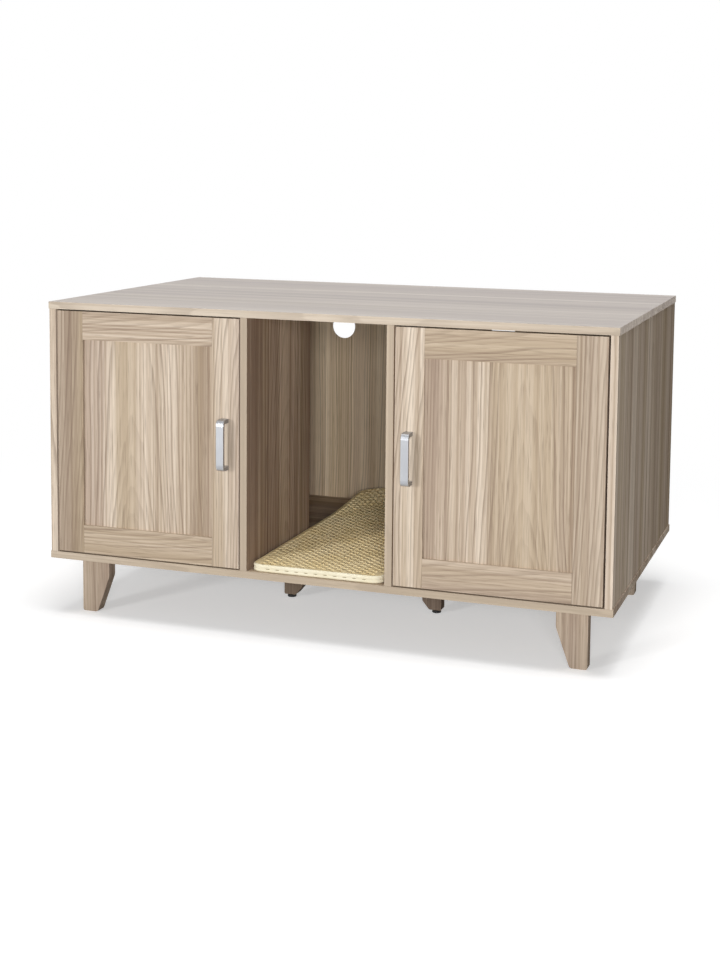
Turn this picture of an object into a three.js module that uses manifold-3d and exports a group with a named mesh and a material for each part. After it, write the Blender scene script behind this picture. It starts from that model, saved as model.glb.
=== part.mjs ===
// Cat litter box cabinet: a low board cabinet with a door on each side, an open bay in the
// middle with a litter mat, four tapered corner legs and two centre supports.
// Millimetres, +Z up. The front faces -Y and the origin is the centre of the footprint.

import * as THREE from 'three';
import { mergeVertices } from 'three/addons/utils/BufferGeometryUtils.js';
import Module from 'manifold-3d';

const wasm = await Module();
wasm.setup();

// Driving dimensions of the carcass.
const WIDTH = 1220;
const DEPTH = 730;
const BOARD = 15;
const CARCASS_HEIGHT = 555;
const LEG_HEIGHT = 122;
const SLAB_OVERHANG = 2;
const GAP = 0.3;

// How far a cutting shape runs past the face that it enters.
const CUT_PAST = 1;

// The middle bay. Its dividers cover only the front part of the depth.
const BAY_HALF = 150;
const DIVIDER_DEPTH = 350;

// Back panel, held in grooves, with two cable holes.
const BACK_THICKNESS = 5;
const BACK_INSET = 13;
const BACK_GROOVE = 6;
const CABLE_HOLE_RADIUS = 30;
const CABLE_HOLE_X = 204;
const CABLE_HOLE_Z = 448;

// Doors: a frame of stiles and rails around a recessed panel.
const DOOR_THICKNESS = 16;
const HINGE_GAP = 4;
const LATCH_GAP = 3;
const DOOR_END_GAP = 3;
const FRAME_WIDTH = 60;
const PANEL_THICKNESS = 6;
const PANEL_GROOVE = 8;

// Bow handles.
const HANDLE_SPACING = 96;
const HANDLE_LENGTH = 106;
const HANDLE_WIDTH = 16;
const HANDLE_REACH = 28;
const HANDLE_STRAP = 5;
const HANDLE_FOOT = 8;
const HANDLE_CORNER = 13;
const HANDLE_INNER_CORNER = 8;
const HANDLE_SCREW_RADIUS = 2;
const HANDLE_SCREW_BITE = 9;
const SCREW_HEAD_RADIUS = 4;
const SCREW_HEAD_HEIGHT = 2.4;

// Concealed cup hinges. Places are from the door's outer front edge.
const CUP_RADIUS = 17.5;
const CUP_DEPTH = 11.5;
const CUP_WALL = 1;
const CUP_INSET = 22.5;
const CUP_EAR_LENGTH = 9;
const CUP_EAR_WIDTH = 12;
const CUP_EAR_THICKNESS = 1.2;
const NECK_HALF_WIDTH = 0.2;
const HINGE_END_DISTANCE = 90;
const LINK_PIVOT = [10, 23];
const LINK_ELBOW = [35, 26];
const LINK_MOUTH = [36, 16];
const LINK_TIP = [32, 9];
const LINK_THICKNESS = 3;
const LINK_WIDTH = 8;
const LINK_EYE_RADIUS = 3;
const HINGE_PIN_RADIUS = 1.5;
const ARM_FRONT = 31;
const ARM_BACK = 74;
const ARM_TOP = 8;
const ARM_LIFT = 1;
const ARM_HALF_WIDTH = 6.5;
const CHEEK_FRONT = 19.5;
const CHEEK_BACK = 32;
const CHEEK_LOW = 6;
const CHEEK_HIGH = 13.5;
const PLATE_FRONT = 42;
const PLATE_BACK = 78;
const PLATE_THICKNESS = 2.5;
const PLATE_HALF_HEIGHT = 18;

// Magnetic catches and their strike plates.
const CATCH_DEPTH = 14;
const CATCH_WIDTH = 12;
const CATCH_HEIGHT = 46;
const CATCH_Z = 420;
const STRIKE_THICKNESS = 1.2;
const STRIKE_WIDTH = 14;
const STRIKE_HEIGHT = 34;
const STRIKE_INSET = 2;

// Corner legs.
const LEG_INSET = 55;
const FRONT_LEG_SETBACK = 40;
const REAR_LEG_SETBACK = 120;
const LEG_TOP_WIDTH = 64;
const LEG_BOTTOM_WIDTH = 35;
const LEG_THICKNESS = 26;
const LEG_STRAIGHT = 42;
const LEG_CORNER = 5;
const LEG_BOLT_RADIUS = 4;
const LEG_BOLT_IN_LEG = 28;
const LEG_BOLT_IN_BOARD = 10;

// Centre supports with levelling glides.
const SUPPORT_EDGE_X = 184;
const SUPPORT_Y = 300;
const SUPPORT_WIDTH = 43;
const SUPPORT_FOOT_WIDTH = 27;
const SUPPORT_SLANT = 19;
const SUPPORT_BOLT_X = 31;
const SUPPORT_CORNER = 3;
const GLIDE_RADIUS = 10;
const GLIDE_DISC = 6;
const GLIDE_EASE = 1;
const GLIDE_SHOULDER = 2;
const GLIDE_CLEARANCE = 8;
const GLIDE_STEM_RADIUS = 4;
const GLIDE_STEM_IN_SUPPORT = 26;

// Litter mat: flat at the front, its rear curling up along an arc.
const MAT_HALF_WIDTH = 146;
const MAT_CENTRE_X = 2.5;
const MAT_FRONT = 6;
const MAT_BEND_START = 580;
const MAT_BEND_RADIUS = 340;
const MAT_BEND_ANGLE = THREE.MathUtils.degToRad(19.5);
const MAT_BEND_STEPS = 8;
const MAT_LOWER = 5;
const MAT_THICKNESS = 15;
const MAT_CORNER = 16;
const MAT_BINDING = 3;

// Derived places, in the carcass frame: X from the middle, Y from the front face, Z from the
// underside of the bottom board.
const SIDE_OUTER = WIDTH / 2 - SLAB_OVERHANG;
const SIDE_INNER = SIDE_OUTER - BOARD;
const DIVIDER_OUTER = BAY_HALF + BOARD;
const INNER_HEIGHT = CARCASS_HEIGHT - 2 * BOARD;
const MID_HEIGHT = CARCASS_HEIGHT / 2;
const DOOR_WIDTH = SIDE_INNER - DIVIDER_OUTER - HINGE_GAP - LATCH_GAP;
const DOOR_HEIGHT = INNER_HEIGHT - 2 * DOOR_END_GAP;
const DOOR_EDGE_X = SIDE_INNER - HINGE_GAP;
const BACK_FRONT_Y = DEPTH - BACK_INSET - BACK_THICKNESS;

const FINISHES = {
  woodPale: { color: 0xc8b49b, roughness: 0.55, metalness: 0 },
  woodTop: { color: 0xb9aa98, roughness: 0.5, metalness: 0 },
  aluminium: { color: 0xc9ccd2, roughness: 0.35, metalness: 1 },
  steel: { color: 0xa4a6a8, roughness: 0.4, metalness: 1 },
  blackPlastic: { color: 0x1d1c1b, roughness: 0.6, metalness: 0 },
  whitePlastic: { color: 0xd9d7d1, roughness: 0.5, metalness: 0 },
  foam: { color: 0xe0d29a, roughness: 0.85, metalness: 0 },
  binding: { color: 0xefe6bd, roughness: 0.8, metalness: 0 },
};

// Turns a three.js geometry into a closed solid.
function toSolid(geometry) {
  const bare = geometry.clone();
  bare.deleteAttribute('normal');
  bare.deleteAttribute('uv');
  const merged = mergeVertices(bare, 1e-4);
  return new wasm.Manifold(new wasm.Mesh({
    numProp: 3,
    vertProperties: new Float32Array(merged.attributes.position.array),
    triVerts: new Uint32Array(merged.index.array),
  }));
}

// Turns a closed solid back into a three.js geometry.
function toGeometry(solid) {
  const mesh = solid.getMesh();
  const geometry = new THREE.BufferGeometry();
  geometry.setAttribute('position', new THREE.BufferAttribute(new Float32Array(mesh.vertProperties), 3));
  geometry.setIndex(new THREE.BufferAttribute(new Uint32Array(mesh.triVerts), 1));
  geometry.computeVertexNormals();
  return geometry;
}

function cut(geometry, tools) {
  const result = tools.reduce((solid, tool) => solid.subtract(toSolid(tool)), toSolid(geometry));
  return toGeometry(result);
}

function join(geometries) {
  const [first, ...others] = geometries;
  return toGeometry(others.reduce((solid, other) => solid.add(toSolid(other)), toSolid(first)));
}

function common(geometry, other) {
  return toGeometry(toSolid(geometry).intersect(toSolid(other)));
}

// A box between two corners.
function block(low, high) {
  const size = high.map((value, axis) => value - low[axis]);
  const centre = high.map((value, axis) => (value + low[axis]) / 2);
  return new THREE.BoxGeometry(...size).translate(...centre);
}

// A round bar from a start point along an axis ('x', 'y' or 'z').
function bar(radius, start, axis, length, sides = 16) {
  const geometry = new THREE.CylinderGeometry(radius, radius, Math.abs(length), sides);
  if (axis === 'x') geometry.rotateZ(-Math.PI / 2);
  if (axis === 'z') geometry.rotateX(Math.PI / 2);
  const centre = { x: 0, y: 0, z: 0 };
  centre[axis] = length / 2;
  return geometry.translate(start[0] + centre.x, start[1] + centre.y, start[2] + centre.z);
}

// An outline of straight edges with each corner rounded by its own radius.
function roundedShape(corners) {
  const shape = new THREE.Shape();
  corners.forEach(([x, y, radius = 0], index) => {
    const before = corners[(index + corners.length - 1) % corners.length];
    const after = corners[(index + 1) % corners.length];
    const point = new THREE.Vector2(x, y);
    const enter = new THREE.Vector2(before[0], before[1]).sub(point).setLength(radius).add(point);
    const leave = new THREE.Vector2(after[0], after[1]).sub(point).setLength(radius).add(point);
    if (index === 0) shape.moveTo(enter.x, enter.y);
    else shape.lineTo(enter.x, enter.y);
    if (radius > 0) shape.quadraticCurveTo(x, y, leave.x, leave.y);
  });
  shape.closePath();
  return shape;
}

// Extrudes an outline by a depth, centred on its own plane.
function slice(shape, depth, curveSegments = 5) {
  const options = { depth, bevelEnabled: false, curveSegments };
  return new THREE.ExtrudeGeometry(shape, options).translate(0, 0, -depth / 2);
}

// Lays an outline drawn as (X, Z) upright, its thickness along Y.
function upright(geometry) {
  return geometry.rotateX(Math.PI / 2);
}

// Lays an outline drawn as (Y, Z) across, its thickness along X.
function across(geometry) {
  return geometry.rotateX(Math.PI / 2).rotateZ(Math.PI / 2);
}

function piece(parent, name, finish, geometry, position = [0, 0, 0]) {
  const mesh = new THREE.Mesh(geometry, new THREE.MeshStandardMaterial(FINISHES[finish]));
  mesh.name = name;
  mesh.position.set(...position);
  parent.add(mesh);
  return mesh;
}

const SIDES = [
  { name: 'left', sign: -1 },
  { name: 'right', sign: 1 },
];
const HINGE_LEVELS = [
  { name: 'upper', z: CARCASS_HEIGHT - BOARD - HINGE_END_DISTANCE },
  { name: 'lower', z: BOARD + HINGE_END_DISTANCE },
];

function legPlaces() {
  const front = FRONT_LEG_SETBACK + LEG_THICKNESS / 2;
  const rear = DEPTH - REAR_LEG_SETBACK - LEG_THICKNESS / 2;
  return SIDES.flatMap(({ name, sign }) => [
    { name: `front_${name}_leg`, sign, y: front },
    { name: `rear_${name}_leg`, sign, y: rear },
  ]);
}

function legBoltPlaces() {
  const boltX = WIDTH / 2 - LEG_INSET - LEG_TOP_WIDTH / 2;
  const legs = legPlaces().map(({ name, sign, y }) => ({ name, place: [sign * boltX, y] }));
  const supports = SIDES.map(({ name, sign }) => ({
    name: `${name}_centre_support`,
    place: [sign * (SUPPORT_EDGE_X - SUPPORT_BOLT_X), SUPPORT_Y],
  }));
  return [...legs, ...supports];
}

function legBolt([x, y], clearance) {
  const start = -LEG_BOLT_IN_LEG - clearance;
  const length = LEG_BOLT_IN_LEG + LEG_BOLT_IN_BOARD + 2 * clearance;
  return bar(LEG_BOLT_RADIUS + clearance, [x, y, start], 'z', length, 12);
}

// The groove ring that the back panel sits in, as one block reaching into all four boards.
function backBlock(reach, clearance) {
  return block(
    [-SIDE_INNER - reach, BACK_FRONT_Y - clearance, BOARD - reach],
    [SIDE_INNER + reach, BACK_FRONT_Y + BACK_THICKNESS + clearance, CARCASS_HEIGHT - BOARD + reach],
  );
}

function buildBoards(carcass) {
  const legHoles = legBoltPlaces().map(({ place }) => legBolt(place, GAP));
  const groove = backBlock(BACK_GROOVE, GAP);

  const slab = (z) => block([-WIDTH / 2, 0, z], [WIDTH / 2, DEPTH, z + BOARD]);
  piece(carcass, 'top_panel', 'woodTop', cut(slab(CARCASS_HEIGHT - BOARD), [groove]));
  piece(carcass, 'bottom_panel', 'woodPale', cut(slab(0), [groove, ...legHoles]));

  for (const { name, sign } of SIDES) {
    const sideX = [sign * SIDE_OUTER, sign * SIDE_INNER].sort((a, b) => a - b);
    const side = block(
      [sideX[0], 0, BOARD + GAP],
      [sideX[1], DEPTH, CARCASS_HEIGHT - BOARD - GAP],
    );
    piece(carcass, `${name}_side_panel`, 'woodPale', cut(side, [groove]));

    const dividerX = [sign * BAY_HALF, sign * DIVIDER_OUTER].sort((a, b) => a - b);
    const divider = block(
      [dividerX[0], 0, BOARD + GAP],
      [dividerX[1], DIVIDER_DEPTH, CARCASS_HEIGHT - BOARD - GAP],
    );
    piece(carcass, `${name}_divider`, 'woodPale', divider);
  }

  const cableHoles = SIDES.map(({ sign }) => bar(
    CABLE_HOLE_RADIUS,
    [sign * CABLE_HOLE_X, BACK_FRONT_Y - BACK_THICKNESS, CABLE_HOLE_Z],
    'y',
    3 * BACK_THICKNESS,
    40,
  ));
  piece(carcass, 'back_panel', 'woodPale', cut(backBlock(BACK_GROOVE - GAP, 0), cableHoles));

  for (const { name, place } of legBoltPlaces()) {
    piece(carcass, `${name}_bolt`, 'steel', legBolt(place, 0));
  }
}

function buildLegs(carcass) {
  const outline = (sign) => roundedShape([
    [0, -GAP],
    [-sign * LEG_TOP_WIDTH, -GAP],
    [-sign * LEG_TOP_WIDTH, -LEG_STRAIGHT, LEG_CORNER],
    [-sign * LEG_BOTTOM_WIDTH, -LEG_HEIGHT, LEG_CORNER],
    [0, -LEG_HEIGHT, LEG_CORNER],
  ]);
  const boltCentre = LEG_TOP_WIDTH / 2;
  for (const { name, sign, y } of legPlaces()) {
    const body = upright(slice(outline(sign), LEG_THICKNESS));
    const hole = legBolt([-sign * boltCentre, 0], GAP);
    piece(carcass, name, 'woodPale', cut(body, [hole]), [sign * (WIDTH / 2 - LEG_INSET), y, 0]);
  }
}

function buildSupports(carcass) {
  const bottom = -(LEG_HEIGHT - GLIDE_CLEARANCE);
  const glideX = SUPPORT_FOOT_WIDTH / 2;
  for (const { name, sign } of SIDES) {
    const outline = roundedShape([
      [0, -GAP],
      [-sign * SUPPORT_WIDTH, -GAP],
      [-sign * SUPPORT_WIDTH, bottom + SUPPORT_SLANT, SUPPORT_CORNER],
      [-sign * SUPPORT_FOOT_WIDTH, bottom, SUPPORT_CORNER],
      [0, bottom, SUPPORT_CORNER],
    ]);
    const stemHole = bar(
      GLIDE_STEM_RADIUS + GAP,
      [-sign * glideX, 0, bottom - CUT_PAST],
      'z',
      GLIDE_STEM_IN_SUPPORT + CUT_PAST + GAP,
      20,
    );
    const boltHole = legBolt([-sign * SUPPORT_BOLT_X, 0], GAP);
    const body = cut(upright(slice(outline, LEG_THICKNESS)), [stemHole, boltHole]);
    piece(carcass, `${name}_centre_support`, 'woodPale', body, [sign * SUPPORT_EDGE_X, SUPPORT_Y, 0]);

    const stemTop = GLIDE_CLEARANCE + GLIDE_STEM_IN_SUPPORT;
    const profile = [
      [0, 0],
      [GLIDE_RADIUS - GLIDE_EASE, 0],
      [GLIDE_RADIUS, GLIDE_EASE],
      [GLIDE_RADIUS, GLIDE_DISC - GLIDE_SHOULDER],
      [GLIDE_RADIUS - GLIDE_SHOULDER, GLIDE_DISC],
      [GLIDE_STEM_RADIUS, GLIDE_DISC],
      [GLIDE_STEM_RADIUS, stemTop],
      [0, stemTop],
    ].map(([r, z]) => new THREE.Vector2(r, z));
    const glide = new THREE.LatheGeometry(profile, 24).rotateX(Math.PI / 2);
    const place = [sign * (SUPPORT_EDGE_X - glideX), SUPPORT_Y, -LEG_HEIGHT];
    piece(carcass, `${name}_levelling_glide`, 'blackPlastic', glide, place);
  }
}

// Cross-section of a stile or rail, its groove on the +X edge.
function frameProfile() {
  const half = FRAME_WIDTH / 2;
  const face = DOOR_THICKNESS / 2;
  const lip = PANEL_THICKNESS / 2 + GAP;
  const floor = half - PANEL_GROOVE;
  return roundedShape([
    [-half, -face],
    [half, -face],
    [half, -lip],
    [floor, -lip],
    [floor, lip],
    [half, lip],
    [half, face],
    [-half, face],
  ]);
}

// The handle's outline, drawn as (reach, Z): an outer bow with the hand space cut out.
function handleGeometry() {
  const halfLength = HANDLE_LENGTH / 2;
  const innerHalf = halfLength - HANDLE_FOOT;
  const innerReach = HANDLE_REACH - HANDLE_STRAP;
  const outline = roundedShape([
    [GAP, halfLength],
    [GAP, innerHalf],
    [innerReach, innerHalf, HANDLE_INNER_CORNER],
    [innerReach, -innerHalf, HANDLE_INNER_CORNER],
    [GAP, -innerHalf],
    [GAP, -halfLength],
    [HANDLE_REACH, -halfLength, HANDLE_CORNER],
    [HANDLE_REACH, halfLength, HANDLE_CORNER],
  ]);
  return across(slice(outline, HANDLE_WIDTH, 6)).rotateZ(Math.PI);
}

function handleScrew(z, clearance) {
  const start = DOOR_THICKNESS + clearance;
  const length = DOOR_THICKNESS + HANDLE_SCREW_BITE + 2 * clearance;
  return bar(HANDLE_SCREW_RADIUS + clearance, [0, start, z], 'y', -length, 12);
}

// One door. Its group stands at the door's outer front edge at mid height.
function buildDoor(carcass, { name, sign }) {
  const door = new THREE.Group();
  door.position.set(sign * DOOR_EDGE_X, 0, MID_HEIGHT);
  carcass.add(door);

  const inboard = (distance) => -sign * distance;
  const midY = DOOR_THICKNESS / 2;
  const hingeLevels = HINGE_LEVELS.map((level) => ({ ...level, z: level.z - MID_HEIGHT }));
  const screwLevels = [HANDLE_SPACING / 2, -HANDLE_SPACING / 2];
  const innerWidth = DOOR_WIDTH - 2 * FRAME_WIDTH;

  const stile = () => slice(frameProfile(), DOOR_HEIGHT);
  const facing = (towards) => (towards > 0 ? stile() : stile().rotateZ(Math.PI));

  const cupHoles = hingeLevels.map(({ z }) => bar(
    CUP_RADIUS + GAP,
    [inboard(CUP_INSET - FRAME_WIDTH / 2), midY + CUT_PAST, z],
    'y',
    -(CUP_DEPTH + GAP + CUT_PAST),
    32,
  ));
  piece(door, `${name}_door_hinge_stile`, 'woodPale', cut(facing(-sign), cupHoles),
    [inboard(FRAME_WIDTH / 2), midY, 0]);

  const latchX = DOOR_WIDTH - FRAME_WIDTH / 2;
  const screwHoles = screwLevels.map((z) => handleScrew(z, GAP).translate(0, -midY, 0));
  piece(door, `${name}_door_latch_stile`, 'woodPale', cut(facing(sign), screwHoles),
    [inboard(latchX), midY, 0]);

  // Rails, with a tongue at each end that enters the stiles' grooves.
  const railLength = innerWidth - 2 * GAP;
  const tongueReach = railLength / 2 + PANEL_GROOVE - 2 * GAP;
  const tongue = block(
    [-tongueReach, -PANEL_THICKNESS / 2, -FRAME_WIDTH / 2],
    [tongueReach, PANEL_THICKNESS / 2, FRAME_WIDTH / 2 - PANEL_GROOVE - GAP],
  );
  const railZ = DOOR_HEIGHT / 2 - FRAME_WIDTH / 2;
  const rail = join([slice(frameProfile(), railLength).rotateY(-Math.PI / 2), tongue]);
  piece(door, `${name}_door_bottom_rail`, 'woodPale', rail, [inboard(DOOR_WIDTH / 2), midY, -railZ]);
  piece(door, `${name}_door_top_rail`, 'woodPale', rail.clone().rotateY(Math.PI),
    [inboard(DOOR_WIDTH / 2), midY, railZ]);

  const panelWidth = innerWidth + 2 * (PANEL_GROOVE - GAP) - GAP;
  const panelHeight = DOOR_HEIGHT - 2 * FRAME_WIDTH + 2 * (PANEL_GROOVE - GAP) - GAP;
  piece(door, `${name}_door_panel`, 'woodPale',
    new THREE.BoxGeometry(panelWidth, PANEL_THICKNESS, panelHeight),
    [inboard(DOOR_WIDTH / 2), midY, 0]);

  // Handle and its two screws, driven from behind.
  const handleHoles = screwLevels.map((z) => handleScrew(z, GAP));
  piece(door, `${name}_handle`, 'aluminium', cut(handleGeometry(), handleHoles), [inboard(latchX), 0, 0]);
  for (const z of screwLevels) {
    const screw = join([
      handleScrew(z, 0).translate(0, GAP, 0),
      bar(SCREW_HEAD_RADIUS, [0, DOOR_THICKNESS + GAP, z], 'y', SCREW_HEAD_HEIGHT, 16),
    ]);
    const level = z > 0 ? 'upper' : 'lower';
    piece(door, `${name}_${level}_handle_screw`, 'steel', screw, [inboard(latchX), 0, 0]);
  }

  for (const level of hingeLevels) buildHinge(door, name, sign, level);

  // Magnetic catch on the divider, and the strike plate that it holds.
  const catchX = DOOR_WIDTH + LATCH_GAP - GAP;
  const catchY = DOOR_THICKNESS + STRIKE_THICKNESS + 3 * GAP;
  const catchZ = CATCH_Z - MID_HEIGHT;
  const strikeX = DOOR_WIDTH - STRIKE_INSET - STRIKE_WIDTH / 2;
  const strikeY = DOOR_THICKNESS + GAP + STRIKE_THICKNESS / 2;
  piece(door, `${name}_magnetic_catch`, 'whitePlastic',
    new THREE.BoxGeometry(CATCH_WIDTH, CATCH_DEPTH, CATCH_HEIGHT),
    [inboard(catchX - CATCH_WIDTH / 2), catchY + CATCH_DEPTH / 2, catchZ]);
  piece(door, `${name}_strike_plate`, 'steel',
    new THREE.BoxGeometry(STRIKE_WIDTH, STRIKE_THICKNESS, STRIKE_HEIGHT),
    [inboard(strikeX), strikeY, catchZ]);
}

// The hooked link between arm and cup, as a strip along its bends with an eye at the pivot.
function linkGeometry(sign) {
  const bends = [LINK_PIVOT, LINK_ELBOW, LINK_MOUTH, LINK_TIP];
  const path = bends.map(([u, y]) => new THREE.Vector2(-sign * u, y));
  const strips = path.slice(1).map((end, index) => {
    const start = path[index];
    const run = end.clone().sub(start);
    const box = new THREE.BoxGeometry(run.length(), LINK_THICKNESS, LINK_WIDTH);
    const middle = start.clone().add(end).multiplyScalar(0.5);
    return box.rotateZ(run.angle()).translate(middle.x, middle.y, 0);
  });
  const centred = (point, radius, width) => bar(radius, [point.x, point.y, -width / 2], 'z', width, 16);
  const knuckles = path.slice(1).map((point) => centred(point, LINK_THICKNESS / 2, LINK_WIDTH));
  const eye = centred(path[0], LINK_EYE_RADIUS, LINK_WIDTH);
  const pinHole = centred(path[0], HINGE_PIN_RADIUS + GAP, LINK_WIDTH + 2 * CUT_PAST);
  return cut(join([eye, ...strips, ...knuckles]), [pinHole]);
}

// The arm on the side panel, with two cheeks and the pin that the link turns on.
function armGeometry(sign) {
  const span = (u0, u1, y0, y1, z0, z1) => {
    const [x0, x1] = [-sign * u0, -sign * u1].sort((a, b) => a - b);
    return block([x0, y0, z0], [x1, y1, z1]);
  };
  const wall = -HINGE_GAP + GAP;
  const cheekInner = LINK_WIDTH / 2 + GAP;
  const cheeks = [-1, 1].map((side) => {
    const [z0, z1] = [side * cheekInner, side * ARM_HALF_WIDTH].sort((a, b) => a - b);
    return span(CHEEK_LOW, CHEEK_HIGH, CHEEK_FRONT, CHEEK_BACK, z0, z1);
  });
  const plateTop = wall + PLATE_THICKNESS;
  const plate = span(wall, plateTop, PLATE_FRONT, PLATE_BACK, -PLATE_HALF_HEIGHT, PLATE_HALF_HEIGHT);
  const body = span(wall + ARM_LIFT, ARM_TOP, ARM_FRONT, ARM_BACK, -ARM_HALF_WIDTH, ARM_HALF_WIDTH);
  const pivot = [-sign * LINK_PIVOT[0], LINK_PIVOT[1], -ARM_HALF_WIDTH];
  const pin = bar(HINGE_PIN_RADIUS, pivot, 'z', 2 * ARM_HALF_WIDTH, 16);
  return join([body, plate, ...cheeks, pin]);
}

// The cup let into the door's back, with an ear above and below for its screws.
function cupGeometry() {
  const profile = [
    [0, 0],
    [CUP_RADIUS, 0],
    [CUP_RADIUS, CUP_DEPTH],
    [CUP_RADIUS - CUP_WALL, CUP_DEPTH],
    [CUP_RADIUS - CUP_WALL, CUP_WALL],
    [0, CUP_WALL],
  ].map(([r, y]) => new THREE.Vector2(r, y));
  const cup = new THREE.LatheGeometry(profile, 32);
  const ears = [-1, 1].map((side) => {
    const near = side * (CUP_RADIUS - CUP_WALL / 2);
    const far = side * (CUP_RADIUS + CUP_EAR_LENGTH);
    const [z0, z1] = [near, far].sort((a, b) => a - b);
    const ear = block(
      [-CUP_EAR_WIDTH / 2, CUP_DEPTH + GAP, z0],
      [CUP_EAR_WIDTH / 2, CUP_DEPTH + GAP + CUP_EAR_THICKNESS, z1],
    );
    const [neckLow, neckHigh] = [near - NECK_HALF_WIDTH, near + NECK_HALF_WIDTH];
    const neck = block(
      [-CUP_EAR_WIDTH / 4, CUP_DEPTH - CUP_WALL, neckLow],
      [CUP_EAR_WIDTH / 4, CUP_DEPTH + GAP + CUP_EAR_THICKNESS / 2, neckHigh],
    );
    return [ear, neck];
  }).flat();
  return join([cup, ...ears]);
}

function buildHinge(door, name, sign, { name: level, z }) {
  const cupPlace = [-sign * CUP_INSET, DOOR_THICKNESS - CUP_DEPTH, z];
  piece(door, `${name}_${level}_hinge_cup`, 'steel', cupGeometry(), cupPlace);
  piece(door, `${name}_${level}_hinge_link`, 'steel', linkGeometry(sign), [0, 0, z]);
  piece(door, `${name}_${level}_hinge_arm`, 'steel', armGeometry(sign), [0, 0, z]);
}

// The mat's side outline between two heights above its underside, drawn as (Y, Z).
function matStrip(low, high) {
  const rim = (height) => Array.from({ length: MAT_BEND_STEPS + 1 }, (_, step) => {
    const angle = (MAT_BEND_ANGLE * step) / MAT_BEND_STEPS;
    const radius = MAT_BEND_RADIUS - height;
    return [MAT_BEND_START + radius * Math.sin(angle), MAT_BEND_RADIUS - radius * Math.cos(angle)];
  });
  const corners = [[MAT_FRONT, low], ...rim(low), ...rim(high).reverse(), [MAT_FRONT, high]];
  const shape = new THREE.Shape(corners.map(([y, z]) => new THREE.Vector2(y, z)));
  return across(slice(shape, 2 * MAT_HALF_WIDTH));
}

// A tall block with the mat's plan outline, drawn in by an inset all round.
function matPlan(inset) {
  const half = MAT_HALF_WIDTH - inset;
  const front = MAT_FRONT + inset;
  const back = MAT_BEND_START + (MAT_BEND_RADIUS - MAT_THICKNESS) * Math.sin(MAT_BEND_ANGLE) - inset;
  const radius = MAT_CORNER - inset;
  const outline = roundedShape([
    [-half, front, radius],
    [half, front, radius],
    [half, back, radius],
    [-half, back, radius],
  ]);
  return slice(outline, 2 * MAT_BEND_RADIUS);
}

function buildMat(carcass) {
  const mat = new THREE.Group();
  mat.position.set(MAT_CENTRE_X, 0, BOARD + GAP);
  carcass.add(mat);
  const inner = matPlan(MAT_BINDING + GAP);
  const ring = cut(matPlan(0), [matPlan(MAT_BINDING)]);
  piece(mat, 'mat_lower_layer', 'foam', common(matStrip(0, MAT_LOWER), inner));
  piece(mat, 'mat_upper_layer', 'foam', common(matStrip(MAT_LOWER + GAP, MAT_THICKNESS), inner));
  piece(mat, 'mat_binding', 'binding', common(matStrip(0, MAT_THICKNESS), ring));
}

const cabinet = new THREE.Group();
const carcass = new THREE.Group();
carcass.position.set(0, (HANDLE_REACH - DEPTH) / 2, LEG_HEIGHT);
cabinet.add(carcass);

buildBoards(carcass);
buildLegs(carcass);
buildSupports(carcass);
for (const side of SIDES) buildDoor(carcass, side);
buildMat(carcass);

export default cabinet;
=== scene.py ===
"""Looks for a cat litter box cabinet: wood-print boards, satin bow handles, cup hinges, litter mat.

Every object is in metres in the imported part's own frame: +X right, -Y out of the front, +Z up,
with the origin on the floor at the middle of the footprint.
"""

from __future__ import annotations

import logging
import math
from dataclasses import dataclass, field
from enum import Enum
from typing import Any, Callable, Iterable, Optional, Union

import bmesh
import bpy
from mathutils import Matrix, Vector

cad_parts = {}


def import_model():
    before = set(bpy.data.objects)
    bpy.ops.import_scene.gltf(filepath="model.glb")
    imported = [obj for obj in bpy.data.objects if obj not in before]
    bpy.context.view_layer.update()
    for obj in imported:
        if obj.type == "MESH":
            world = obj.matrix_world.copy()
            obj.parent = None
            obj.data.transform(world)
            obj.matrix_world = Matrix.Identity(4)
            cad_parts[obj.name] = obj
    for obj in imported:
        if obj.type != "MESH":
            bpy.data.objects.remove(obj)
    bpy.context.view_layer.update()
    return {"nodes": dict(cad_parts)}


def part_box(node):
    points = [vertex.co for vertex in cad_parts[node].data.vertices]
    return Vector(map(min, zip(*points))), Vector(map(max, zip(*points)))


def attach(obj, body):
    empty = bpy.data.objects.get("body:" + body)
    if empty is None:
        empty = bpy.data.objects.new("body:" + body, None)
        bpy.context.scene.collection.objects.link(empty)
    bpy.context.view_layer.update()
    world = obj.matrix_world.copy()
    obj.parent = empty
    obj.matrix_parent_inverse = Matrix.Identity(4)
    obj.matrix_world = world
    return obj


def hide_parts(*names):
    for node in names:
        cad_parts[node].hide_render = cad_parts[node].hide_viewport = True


LOG = logging.getLogger("cabinet")
MM = 0.001

Flat = tuple[float, float]
Point = tuple[float, float, float]
Colour = tuple[float, float, float]
Ring = list[bmesh.types.BMVert]
Filler = Callable[[bmesh.types.BMesh], None]

SIDE_NAMES = ("left", "right")
HINGE_LEVELS = ("upper", "lower")
NOISE_MIDDLE = 0.5
EVEN: Point = (1.0, 1.0, 1.0)
FACING: Flat = (0.6, 0.9)
MIX_FIRST, MIX_SECOND, MIX_RESULT = 6, 7, 2


def srgb(red: int, green: int, blue: int) -> Colour:
    """Turns an eight-bit display colour into a linear one.

    Args:
        red: Red from 0 to 255.
        green: Green from 0 to 255.
        blue: Blue from 0 to 255.

    Returns:
        The linear red, green and blue.
    """

    def linear(value: int) -> float:
        """Undoes the display curve for one channel."""
        share = value / 255
        return share / 12.92 if share <= 0.04045 else ((share + 0.055) / 1.055) ** 2.4

    return linear(red), linear(green), linear(blue)


class Grain(Enum):
    """The direction in which a board's grain runs, by the number of its axis."""

    ALONG_X = 0
    ALONG_Z = 2


# ---- Shader maths ----


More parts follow.
